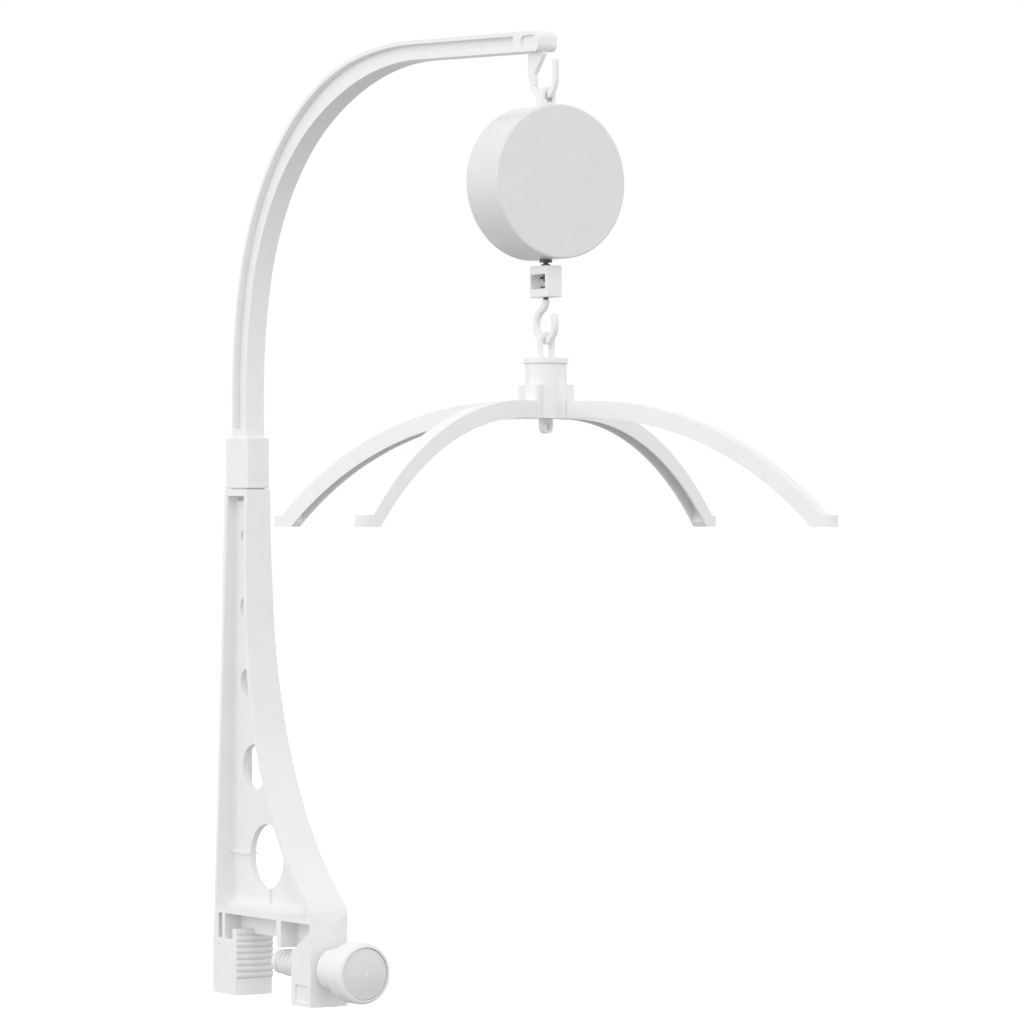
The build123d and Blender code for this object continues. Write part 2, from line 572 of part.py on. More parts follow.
with BuildPart() as rear_cover:
    with BuildSketch(Plane.YZ.offset(REAR_X)):
        with Locations(yz(0, 0)):
            Circle(CASE_R)
    extrude(amount=COVER_T)
    fillet(rear_cover.faces().sort_by(Axis.X)[0].edges(), 1.0)
    with BuildSketch(Plane.YZ.offset(COVER_X)):
        with Locations(yz(0, 0)):
            Circle(CASE_R - WALL - 0.1)
            Circle(CASE_R - WALL - 1.7, mode=Mode.SUBTRACT)
    extrude(amount=2.0)
    with BuildSketch(Plane.YZ.offset(REAR_X)):
        with Locations(yz(0, 0)):
            Circle(3.2)
            with GridLocations(CASE_SCREW_Y, CASE_SCREW_Z, 2, 2):
                Circle(1.5)
    extrude(amount=COVER_T + 3, mode=Mode.SUBTRACT)
    with BuildSketch(Plane.YZ.offset(REAR_X)):
        with Locations(yz(0, 0)):
            with GridLocations(CASE_SCREW_Y, CASE_SCREW_Z, 2, 2):
                Circle(2.9)
    extrude(amount=1.2, mode=Mode.SUBTRACT)
    # shallow dish round the winding key
    with BuildSketch(Plane.YZ.offset(REAR_X)):
        with Locations(yz(0, 0)):
            Circle(9.0)
    extrude(amount=0.8, mode=Mode.SUBTRACT)
    # clear of the screw bosses
    with BuildSketch(Plane.YZ.offset(COVER_X)):
        with Locations(yz(0, 0)):
            with GridLocations(CASE_SCREW_Y, CASE_SCREW_Z, 2, 2):
                Circle(4.0)
    extrude(amount=3, mode=Mode.SUBTRACT)
write(rear_cover, "rear_cover")

with BuildPart() as hanging_eye:
    with BuildSketch(Plane.YZ.offset(HANG_X)):
        with Locations(yz(0, EYE_TOP - EYE_W / 2)):
            Circle(EYE_W / 2)
        with Locations(yz(0, (EYE_TOP - EYE_W / 2 + 42) / 2)):
            Rectangle(EYE_W, EYE_TOP - EYE_W / 2 - 42)
        with Locations(yz(0, 41.5)):
            Rectangle(EYE_W + 5, 1.8)
        with Locations(yz(0, EYE_SLOT_Z)):
            Circle(EYE_SLOT_R, mode=Mode.SUBTRACT)
        with Locations(yz(0, (EYE_SLOT_Z + EYE_SLOT_LOW) / 2)):
            Rectangle(2 * EYE_SLOT_R, EYE_SLOT_Z - EYE_SLOT_LOW, mode=Mode.SUBTRACT)
    extrude(amount=EYE_T / 2, both=True)
write(hanging_eye, "hanging_eye")

with BuildPart() as case_screws:
    with BuildSketch(Plane.YZ.offset(REAR_X + 0.1)):
        with Locations(yz(0, 0)):
            with GridLocations(CASE_SCREW_Y, CASE_SCREW_Z, 2, 2):
                Circle(2.7)
    extrude(amount=1.1)
    with BuildSketch(Plane.YZ.offset(REAR_X + 1.1)):
        with Locations(yz(0, 0)):
            with GridLocations(CASE_SCREW_Y, CASE_SCREW_Z, 2, 2):
                Circle(1.2)
    extrude(amount=10)
    with BuildSketch(Plane.YZ.offset(REAR_X + 0.1)):
        with Locations(yz(0, 0)):
            with GridLocations(CASE_SCREW_Y, CASE_SCREW_Z, 2, 2):
                Rectangle(3.2, 0.6)
                Rectangle(0.6, 3.2)
    extrude(amount=0.6, mode=Mode.SUBTRACT)
write(case_screws, "case_screws")

# ================================================================ clockwork
GEAR_X = HANG_X + 8.0
GEAR_T = 2.0
BARREL_X = CROWN_X + 2.0
BARREL_R = 13.0
BARREL_END_X = HANG_X + 12.0
BRIDGE_X = HANG_X + 12.6
BRIDGE_T = 1.6
PIN_R = 1.2               # small steel pivots
ARBOR_R = 2.0
SHAFT_R = 1.6
PILLARS = (-31.0, 37.0)
DRUM_R = 5.5
COMB_Y = DRUM_Y + 6.4
COMB_TEETH = 12
COMB_Z = 11.5
DRUM_START_X = PLATE_X + 3.5
TAB_Z = -25.0


def across(x, y, z):
    """Sketch plane facing +X, centred on a place given from the box's centre."""
    return Plane(origin=(x, y, BOX_Z + z), x_dir=(0, 1, 0), z_dir=(1, 0, 0))


with BuildPart() as movement_plate:
    with BuildSketch(Plane.YZ.offset(PLATE_X)):
        with Locations(yz(2, 2)):
            RectangleRounded(76, 58, 9)
        with Locations(yz(0, 0)):
            Circle(CASE_R - WALL - 4.5, mode=Mode.INTERSECT)
            Circle(ARBOR_R + RUNNING, mode=Mode.SUBTRACT)
        with Locations(yz(DRUM_Y, 0), yz(GOVERNOR_Y, 0)):
            Circle(PIN_R + RUNNING, mode=Mode.SUBTRACT)
        for post_y, post_z in POSTS:
            with Locations(yz(post_y, post_z)):
                Circle(1.3, mode=Mode.SUBTRACT)
        with Locations(yz(0, 0)):
            with GridLocations(CASE_SCREW_Y, CASE_SCREW_Z, 2, 2):
                Circle(4.5, mode=Mode.SUBTRACT)
    extrude(amount=PLATE_T)
    # folded tab that steadies the top of the output shaft
    with Locations((PLATE_X + 9, 0, BOX_Z + TAB_Z)):
        Box(18, 11, 2.0)
    with Locations((HANG_X, 0, BOX_Z + TAB_Z)):
        Cylinder(SHAFT_R + RUNNING, 6, mode=Mode.SUBTRACT)
    # pillars for the bridge, and the comb's seat
    with BuildSketch(Plane.YZ.offset(PLATE_X + PLATE_T - 0.2)):
        with Locations(yz(PILLARS[0], 0), yz(PILLARS[1], 0)):
            Circle(2.2)
    extrude(amount=BRIDGE_X - PLATE_X - PLATE_T + 0.2)
    with Locations((PLATE_X + 9, COMB_Y + 0.8 + 2.5, BOX_Z + COMB_Z)):
        Box(18, 5, 6.6)
write(movement_plate, "movement_plate")

with BuildPart() as movement_bridge:
    with BuildSketch(Plane.YZ.offset(BRIDGE_X)):
        with Locations(yz((PILLARS[0] + PILLARS[1]) / 2, 0)):
            SlotOverall(PILLARS[1] - PILLARS[0] + 9, 9)
        with Locations(yz(0, 0)):
            Circle(ARBOR_R + RUNNING, mode=Mode.SUBTRACT)
        with Locations(yz(DRUM_Y, 0), yz(GOVERNOR_Y, 0)):
            Circle(PIN_R + RUNNING, mode=Mode.SUBTRACT)
    extrude(amount=BRIDGE_T)
write(movement_bridge, "movement_bridge")

with BuildPart() as plate_screws:
    # screws that hold the clockwork to the posts inside the case
    for post_y, post_z in POSTS:
        with BuildSketch(across(PLATE_X - 1.4, post_y, post_z)):
            Circle(2.2)
        extrude(amount=1.35)
        with BuildSketch(across(PLATE_X - 0.1, post_y, post_z)):
            Circle(1.0)
        extrude(amount=9)
        with BuildSketch(across(PLATE_X - 1.4, post_y, post_z)):
            Rectangle(3.0, 0.6)
        extrude(amount=0.7, mode=Mode.SUBTRACT)
write(plate_screws, "plate_screws")

with BuildPart() as spring_barrel:
    # crown wheel, spring drum and great wheel turn together
    with BuildSketch(across(CROWN_X + 0.8, 0, 0)):
        Circle(CROWN_PITCH_R + 1.0)
    extrude(amount=1.3)
    with BuildSketch(across(BARREL_X, 0, 0)):
        Circle(BARREL_R)
    extrude(amount=BARREL_END_X - BARREL_X)
    with BuildSketch(across(GEAR_X, 0, 0)):
        gear_sketch(BARREL_TEETH)
    extrude(amount=GEAR_T)
    with BuildSketch(across(BARREL_X + 1.0, 0, 0)):
        Circle(BARREL_R - 1.0)
    extrude(amount=BARREL_END_X - BARREL_X - 1.9, mode=Mode.SUBTRACT)
    with BuildSketch(across(CROWN_X, 0, 0)):
        Circle(ARBOR_R + RUNNING)
    extrude(amount=20, mode=Mode.SUBTRACT)
    for tooth in range(CROWN_TEETH):
        turn = (tooth + 0.5) * 360 / CROWN_TEETH - 90
        outward = Vector(0, math.cos(math.radians(turn)), math.sin(math.radians(turn)))
        sideways = Vector(0, -math.sin(math.radians(turn)), math.cos(math.radians(turn)))
        tooth_origin = Vector(CROWN_X, 0, BOX_Z) + outward * (CROWN_PITCH_R - 1.0)
        with BuildSketch(Plane(origin=tooth_origin, x_dir=sideways, z_dir=outward)) as crown_tooth:
            up = 1 if crown_tooth.workplanes[0].y_dir.X > 0 else -1
            Polygon((-0.72, up * 1.0), (-0.35, -up * 0.55), (0.35, -up * 0.55), (0.72, up * 1.0), align=None)
        extrude(amount=2.0)
write(spring_barrel, "spring_barrel")

with BuildPart() as mainspring:
    # flat spiral of semicircles, from just outside the arbor to the drum's wall
    half_turns = 9
    ring_gap = (BARREL_R - 1.6 - ARBOR_R - 1.0) / (half_turns + 1)
    with BuildSketch(across(BARREL_X + 1.4, 0, 0)):
        with BuildLine():
            spot = Vector(ARBOR_R + 1.0, 0)
            for half_turn in range(half_turns):
                radius = ARBOR_R + 1.0 + ring_gap * (half_turn + 0.5)
                side = -1 if half_turn % 2 == 0 else 1
                middle = spot + Vector(side * radius, -side * radius)
                arc = ThreePointArc(spot, middle, spot + Vector(side * 2 * radius, 0))
                spot = arc @ 1
        trace(line_width=0.35)
    extrude(amount=BARREL_END_X - BARREL_X - 2.8)
write(mainspring, "mainspring")

with BuildPart() as winding_arbor:
    with BuildSketch(across(REAR_X - 7, 0, 0)):
        Circle(ARBOR_R)
    extrude(amount=BRIDGE_X + BRIDGE_T + 0.3 - REAR_X + 7)
    # ratchet wheel outside the plate and a collar inside it
    with BuildSketch(across(PLATE_X - 1.5, 0, 0)):
        Circle(4.2)
        with PolarLocations(0, 14):
            Polygon((3.9, -0.9), (5.6, 0.8), (3.9, 0.9), align=None)
    extrude(amount=1.3)
    with BuildSketch(across(PLATE_X + PLATE_T + 0.2, 0, 0)):
        Circle(3.2)
    extrude(amount=1.2)
write(winding_arbor, "winding_arbor")

with BuildPart() as winding_key:
    with BuildSketch(across(REAR_X - 8, 0, 0)):
        Circle(4.0)
    extrude(amount=7.6)
    with BuildSketch(Plane.XZ):
        with Locations((REAR_X - 12.0, BOX_Z)):
            SlotOverall(25, 11, rotation=90)
        with Locations((REAR_X - 12.5, BOX_Z + 7.2), (REAR_X - 12.5, BOX_Z - 7.2)):
            Circle(2.4, mode=Mode.SUBTRACT)
    extrude(amount=1.4, both=True)
    with BuildSketch(across(REAR_X - 7.2, 0, 0)):
        Circle(ARBOR_R)
    extrude(amount=9, mode=Mode.SUBTRACT)
write(winding_key, "winding_key")

with BuildPart() as pin_drum:
    with BuildSketch(across(PLATE_X - 0.4, DRUM_Y, 0)):
        Circle(PIN_R)
    extrude(amount=BRIDGE_X + BRIDGE_T + 0.3 - PLATE_X)
    with BuildSketch(across(DRUM_START_X, DRUM_Y, 0)):
        Circle(DRUM_R)
    extrude(amount=COMB_TEETH + 1)
    with BuildSketch(across(GEAR_X, DRUM_Y, 0)):
        gear_sketch(DRUM_TEETH, 180 / DRUM_TEETH)
    extrude(amount=GEAR_T)
    # tune pins: a fixed pattern round the drum
    for row in range(COMB_TEETH):
        for beat in range(3):
            turn = (row * 5 % 12) * 30 + beat * 120 + 20
            outward = Vector(0, math.cos(math.radians(turn)), math.sin(math.radians(turn)))
            pin_origin = Vector(DRUM_START_X + row + 1.0, DRUM_Y, BOX_Z) + outward * (DRUM_R - 0.5)
            with BuildSketch(Plane(origin=pin_origin, x_dir=(1, 0, 0), z_dir=outward)):
                Circle(0.22)
            extrude(amount=1.0)
write(pin_drum, "pin_drum")

with BuildPart() as tone_comb:
    with Locations((DRUM_START_X + 6.5, COMB_Y + 0.4, BOX_Z + COMB_Z)):
        Box(13, 0.8, 6.6)
    for row in range(COMB_TEETH):
        length = 11.2 - row * 0.15
        with Locations((DRUM_START_X + row + 1.0, COMB_Y + 0.4, BOX_Z + COMB_Z - length / 2)):
            Box(0.66, 0.6, length)
write(tone_comb, "tone_comb")

with BuildPart() as governor:
    with BuildSketch(across(PLATE_X - 0.4, GOVERNOR_Y, 0)):
        Circle(PIN_R)
    extrude(amount=BRIDGE_X + BRIDGE_T + 0.3 - PLATE_X)
    with BuildSketch(across(GEAR_X, GOVERNOR_Y, 0)):
        gear_sketch(GOVERNOR_TEETH, 180 / GOVERNOR_TEETH)
    extrude(amount=GEAR_T)
    # two-bladed air brake
    with BuildSketch(across(PLATE_X + 4, GOVERNOR_Y, 0)):
        Circle(2.4)
        Rectangle(1.0, 14)
    extrude(amount=7)
write(governor, "governor")

# ================================================================ output shaft
SHAFT_TOP = -9.0
WINDOW_TOP = -(BOX_TOP + BOX_BAR)
BOX_LOW = -(BOX_TOP + BOX_H)
WINDOW_LOW = BOX_LOW + BOX_BAR


def level(z):
    """Sketch plane facing +Z on the hanging line, at a height from the box's centre."""
    return Plane(origin=(HANG_X, 0, BOX_Z + z), x_dir=(1, 0, 0), z_dir=(0, 0, 1))


with BuildPart() as output_shaft:
    with BuildSketch(level(WINDOW_TOP - 4.4)):
        Circle(SHAFT_R)
    extrude(amount=SHAFT_TOP - WINDOW_TOP + 4.4)
    with BuildSketch(level(-CROWN_PITCH_R - 2.2)):
        gear_sketch(PINION_TEETH)
    extrude(amount=4.4)
    with Locations((HANG_X, 0, BOX_Z + WINDOW_TOP - 1.9)):
        Cylinder(0.8, 12, rotation=(0, 90, 0), mode=Mode.SUBTRACT)
write(output_shaft, "output_shaft")

with BuildPart() as shaft_bush:
    with BuildSketch(level(-49.2)):
        Circle(BUSH_HEAD_R)
    extrude(amount=1.5)
    with BuildSketch(level(-48.0)):
        Circle(BUSH_R - 0.05)
    extrude(amount=4.5)
    with BuildSketch(level(-50)):
        Circle(SHAFT_R + RUNNING)
    extrude(amount=10, mode=Mode.SUBTRACT)
write(shaft_bush, "shaft_bush")

with BuildPart() as shaft_clip:
    with BuildSketch(level(-51.0)):
        Circle(2.8)
        Circle(SHAFT_R, mode=Mode.SUBTRACT)
        with Locations((2.6, 0)):
            Rectangle(3.6, 1.6, mode=Mode.SUBTRACT)
    extrude(amount=0.8)
write(shaft_clip, "shaft_clip")

with BuildPart() as coupling_box:
    with Locations((HANG_X, 0, BOX_Z + BOX_LOW + BOX_H / 2)):
        Box(BOX_L, BOX_W, BOX_H)
    fillet(coupling_box.edges().filter_by(Axis.Z), 1.2)
    fillet(coupling_box.faces().sort_by(Axis.Z)[-1].edges(), 0.7)
    fillet(coupling_box.faces().sort_by(Axis.Z)[0].edges(), 0.7)
    with Locations((HANG_X, 0, BOX_Z + (WINDOW_TOP + WINDOW_LOW) / 2)):
        Box(BOX_L - 3.6, BOX_W + 2, WINDOW_TOP - WINDOW_LOW, mode=Mode.SUBTRACT)
    with BuildSketch(level(WINDOW_TOP - 1)):
        Circle(SHAFT_R)
    extrude(amount=BOX_BAR + 2, mode=Mode.SUBTRACT)
    with BuildSketch(level(BOX_LOW - 1)):
        Circle(SWIVEL_R + RUNNING)
    extrude(amount=BOX_BAR + 2, mode=Mode.SUBTRACT)
write(coupling_box, "coupling_box")

with BuildPart() as cross_pin:
    with Locations((HANG_X, 0, BOX_Z + WINDOW_TOP - 1.9)):
        Cylinder(0.8, 11, rotation=(0, 90, 0))
write(cross_pin, "cross_pin")

# ================================================================ lower hook
with BuildPart() as lower_hook:
    neck_z = BOX_Z + BOX_LOW - NECK_GAP - 0.4
    drop = neck_z - LOW_HOOK_Z
    bend = 2 * math.atan2(LOW_HOOK_R, drop)
    radii = drop / math.sin(bend)
    with BuildSketch(Plane.XZ):
        with BuildLine():
            bend_deg = math.degrees(bend)
            first = JernArc(start=(HANG_X, neck_z), tangent=(0, -1), radius=radii * 0.36, arc_size=-bend_deg)
            second = JernArc(start=first @ 1, tangent=first % 1, radius=radii * 0.64, arc_size=bend_deg)
            bowl = JernArc(start=second @ 1, tangent=(0, -1), radius=LOW_HOOK_R, arc_size=LOW_HOOK_TURN)
        trace(line_width=LOW_BAR)
        # rounded end of the prong
        with Locations(bowl @ 1):
            Circle(LOW_BAR / 2)
    extrude(amount=LOW_BAR_T / 2, both=True)
    fillet(lower_hook.faces().sort_by(Axis.Y)[-1].edges(), 1.2)
    fillet(lower_hook.faces().sort_by(Axis.Y)[0].edges(), 1.2)
    # round neck, bored for the swivel pin
    with BuildSketch(level(BOX_LOW - NECK_GAP - NECK_LENGTH)):
        Circle(NECK_R)
    extrude(amount=NECK_LENGTH)
    with BuildSketch(level(BOX_LOW - NECK_GAP)):
        Circle(PIN_TAIL_R)
    extrude(amount=-PIN_TAIL, mode=Mode.SUBTRACT)
write(lower_hook, "lower_hook")

with BuildPart() as swivel_pin:
    # headed pin that turns in the coupling box and is pressed into the hook's neck
    with BuildSketch(level(WINDOW_LOW + 0.15)):
        Circle(3.4)
    extrude(amount=1.4)
    with BuildSketch(level(BOX_LOW - NECK_GAP)):
        Circle(SWIVEL_R)
    extrude(amount=NECK_GAP + BOX_BAR + 0.2)
    with BuildSketch(level(BOX_LOW - NECK_GAP)):
        Circle(PIN_TAIL_R)
    extrude(amount=-PIN_TAIL)
write(swivel_pin, "swivel_pin")

# ================================================================ toy hanger
LOOP_R = 5.5
LOOP_HOLE_R = 2.9
LOOP_T = 3.2
LOOP_Z = LOW_HOOK_Z - LOW_HOOK_R
CAP_TOP_Z = BOX_Z - 108.0

with BuildPart() as hub_cap:
    with BuildSketch(Plane.XY.offset(HUB_TOP_Z)):
        with Locations((HANG_X, 0)):
            Circle(13.9)
    extrude(amount=CAP_TOP_Z - HUB_TOP_Z)
    fillet(hub_cap.faces().sort_by(Axis.Z)[-1].edges(), 1.0)
    with BuildSketch(Plane.XY.offset(HUB_TOP_Z)):
        with Locations((HANG_X, 0)):
            Circle(HUB_R - 2.3)
            Circle(HUB_R - 3.8, mode=Mode.SUBTRACT)
    extrude(amount=-3.0)
    with BuildSketch(Plane.YZ.offset(HANG_X)):
        with Locations((0, LOOP_Z)):
            Circle(LOOP_R)
        with Locations((0, (LOOP_Z + CAP_TOP_Z - 0.5) / 2)):
            Rectangle(2 * LOOP_R, LOOP_Z - CAP_TOP_Z + 0.5)
        with Locations((0, LOOP_Z)):
            Circle(LOOP_HOLE_R, mode=Mode.SUBTRACT)
        with Locations((0, (LOOP_Z + CAP_TOP_Z) / 2)):
            Rectangle(2 * LOOP_HOLE_R, LOOP_Z - CAP_TOP_Z, mode=Mode.SUBTRACT)
    extrude(amount=LOOP_T / 2, both=True)
write(hub_cap, "hub_cap")

with BuildPart() as hub_body:
    with BuildSketch(Plane.XY.offset(HUB_LOW_Z)):
        with Locations((HANG_X, 0)):
            Circle(HUB_R - 0.1)
    extrude(amount=HUB_TOP_Z - HUB_LOW_Z - 0.1)
    # four socket blocks
    with BuildSketch(Plane.XY.offset(HUB_LOW_Z)):
        with Locations((HANG_X, 0)):
            with PolarLocations(0, 4, start_angle=FIRST_ARM_DEG):
                with Locations((SOCKET_R / 2, 0)):
                    Rectangle(SOCKET_R, SOCKET_W)
    extrude(amount=SOCKET_TOP_Z - HUB_LOW_Z)
    corner_r = math.hypot(SOCKET_R, SOCKET_W / 2)
    upright = hub_body.edges().filter_by(Axis.Z)
    corners = [e for e in upright if abs(math.hypot(e.center().X - HANG_X, e.center().Y) - corner_r) < 0.1]
    fillet(corners, SOCKET_CORNER_R)
    # hollow above the sockets
    with BuildSketch(Plane.XY.offset(SPAR_TOP_Z + 3)):
        with Locations((HANG_X, 0)):
            Circle(HUB_R - 2.2)
    extrude(amount=HUB_TOP_Z - SPAR_TOP_Z, mode=Mode.SUBTRACT)
    # sockets for the spars' tenons
    with BuildSketch(Plane.XY.offset(SPAR_TOP_Z - SPAR_H + 1.9)):
        with Locations((HANG_X, 0)):
            with PolarLocations(0, 4, start_angle=FIRST_ARM_DEG):
                with Locations((SOCKET_R - TENON / 2, 0)):
                    Rectangle(TENON + 1, SPAR_W - 4)
    extrude(amount=SPAR_H - 3.8, mode=Mode.SUBTRACT)
    # bore for the tie screw
    with BuildSketch(Plane.XY.offset(HUB_LOW_Z)):
        with Locations((HANG_X, 0)):
            Circle(1.5)
    extrude(amount=30, mode=Mode.SUBTRACT)
write(hub_body, "hub_body")

with BuildPart() as hub_eyelet:
    with BuildSketch(Plane.YZ.offset(HANG_X)):
        with Locations((0, EYELET_Z)):
            Circle(EYELET_R)
        with Locations((0, (HUB_LOW_Z - 0.1 + EYELET_Z) / 2)):
            Rectangle(2 * EYELET_R, HUB_LOW_Z - 0.1 - EYELET_Z)
        with Locations((0, EYELET_Z + 0.2)):
            SlotOverall(4.6, 3.0, rotation=90, mode=Mode.SUBTRACT)
    extrude(amount=2.0, both=True)
    with BuildSketch(Plane.XY.offset(HUB_LOW_Z - 0.3)):
        with Locations((HANG_X, 0)):
            Circle(1.5)
    extrude(amount=13.5)
write(hub_eyelet, "hub_eyelet")

with BuildPart() as tie_nut:
    with BuildSketch(Plane.XY.offset(SPAR_TOP_Z + 3)):
        with Locations((HANG_X, 0)):
            RegularPolygon(3.2, 6)
            Circle(1.5, mode=Mode.SUBTRACT)
    extrude(amount=2.4)
write(tie_nut, "tie_nut")


def spar(angle):
    """One curved spar with its tenon, channel and toy tab, turned to its place."""
    with BuildPart() as blank:
        with BuildSketch(Plane.XZ):
            with BuildLine():
                top = Line((SPAR_START_R, SPAR_TOP_Z), (SPAR_FLAT, SPAR_TOP_Z))
                top_end = TOY_HOLE_POS - 2
                fall = math.asin((top_end - SPAR_FLAT) / SPAR_R)
                arc = JernArc(start=top @ 1, tangent=(1, 0), radius=SPAR_R, arc_size=-math.degrees(fall))
                tab_top = (arc @ 1).Y
                low_end = TOY_HOLE_POS - 9
                low_fall = math.asin((low_end - SPAR_FLAT) / SPAR_INNER_R)
                low_line = Line((SPAR_START_R, SPAR_TOP_Z - SPAR_H), (SPAR_FLAT, SPAR_TOP_Z - SPAR_H))
                low_arc = JernArc(start=low_line @ 1, tangent=(1, 0), radius=SPAR_INNER_R,
                                  arc_size=-math.degrees(low_fall))
                Polyline(arc @ 1, (TAB_END_R, tab_top), (TAB_END_R, (low_arc @ 1).Y), low_arc @ 1)
                Line(top @ 0, low_line @ 0)
            make_face()
        extrude(amount=SPAR_W / 2, both=True)
        # rounded end of the toy tab
        ends = blank.edges().filter_by(Axis.Z).sort_by(Axis.X)[-2:]
        fillet(ends, SPAR_W / 2 - 0.2)
        # open channel underneath
        with BuildSketch(Plane.XZ):
            with BuildLine():
                c_top = Line((SPAR_START_R + 3, SPAR_TOP_Z - SPAR_SKIN), (SPAR_FLAT, SPAR_TOP_Z - SPAR_SKIN))
                c_turn = math.asin((TOY_HOLE_POS - 12 - SPAR_FLAT) / (SPAR_R - SPAR_SKIN))
                c_arc = JernArc(start=c_top @ 1, tangent=(1, 0), radius=SPAR_R - SPAR_SKIN,
                                arc_size=-math.degrees(c_turn))
                Polyline(c_arc @ 1, (c_arc @ 1) + Vector(0, -30),
                         (SPAR_START_R + 3, SPAR_TOP_Z - SPAR_H - 80), c_top @ 0)
            make_face()
        extrude(amount=SPAR_W / 2 - SPAR_WALL, both=True, mode=Mode.SUBTRACT)
        # tenon
        with Locations((SPAR_START_R - TENON / 2, 0, SPAR_TOP_Z - SPAR_H / 2)):
            Box(TENON + 0.1, SPAR_W - 4.1, SPAR_H - 3.9)
        # hole for a toy's hanging loop
        with Locations((TOY_HOLE_POS, 0, TAB_LOW_Z)):
            Cylinder(TOY_HOLE_R, 30, mode=Mode.SUBTRACT)
    return Pos(HANG_X, 0, 0) * Rot(0, 0, angle) * blank.part


for number in range(4):
    with BuildPart() as cross_arm:
        add(spar(FIRST_ARM_DEG + 90 * number))
    write(cross_arm, f"cross_arm_{number + 1}")
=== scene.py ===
import json
import math
import bpy
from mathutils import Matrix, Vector


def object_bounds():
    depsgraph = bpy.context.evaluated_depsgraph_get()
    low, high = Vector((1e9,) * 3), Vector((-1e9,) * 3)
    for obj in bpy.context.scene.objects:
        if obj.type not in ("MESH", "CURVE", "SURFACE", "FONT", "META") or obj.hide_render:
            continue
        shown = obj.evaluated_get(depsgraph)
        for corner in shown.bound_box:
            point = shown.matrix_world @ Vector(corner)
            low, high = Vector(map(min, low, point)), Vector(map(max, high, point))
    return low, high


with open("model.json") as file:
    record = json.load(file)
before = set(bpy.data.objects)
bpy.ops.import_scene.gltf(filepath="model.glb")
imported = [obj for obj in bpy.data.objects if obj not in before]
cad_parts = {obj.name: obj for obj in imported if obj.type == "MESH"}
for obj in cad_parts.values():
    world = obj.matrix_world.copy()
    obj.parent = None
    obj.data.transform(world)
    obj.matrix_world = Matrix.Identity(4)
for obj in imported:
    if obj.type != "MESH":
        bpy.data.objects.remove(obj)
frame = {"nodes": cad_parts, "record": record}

CAD_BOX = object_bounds()
MM = 0.001

# Camera: far off on the side of the screw, level with the middle of the object.
CAMERA_AT = Vector((2735.4, -1601.7, 265.8)) * MM
LOOK_AT = Vector((293.9, 0.0, 272.9)) * MM
LENS_MM = 164.5

WHITE = (0.87, 0.87, 0.88)
SHELL_WHITE = (0.76, 0.76, 0.77)
GRIP_WHITE = (0.84, 0.84, 0.85)
STEEL_GREY = (0.60, 0.61, 0.63)
# near-black steel: painted shade for the steel pieces inside the music box, which sit in its shadow
PAINTED_SHADE_STEEL = (0.085, 0.085, 0.09)
BRASS = (0.72, 0.53, 0.24)
BRUSHED = (1, 1, 0.1)       # grain drawn out along Z


# ---------------------------------------------------------------- materials
def node(tree, kind, x, y, **values):
    """Add a shader node and set its named attributes."""
    made = tree.nodes.new(kind)
    made.location = (x, y)
    for name, value in values.items():
        setattr(made, name, value)
    return made


def object_coords(tree, scale):
    """Noise coordinates that stay with the object."""
    coords = node(tree, "ShaderNodeTexCoord", -1400, 0)
    mapping = node(tree, "ShaderNodeMapping", -1200, 0)
    mapping.inputs["Scale"].default_value = scale
    tree.links.new(coords.outputs["Object"], mapping.inputs["Vector"])
    return mapping.outputs["Vector"]


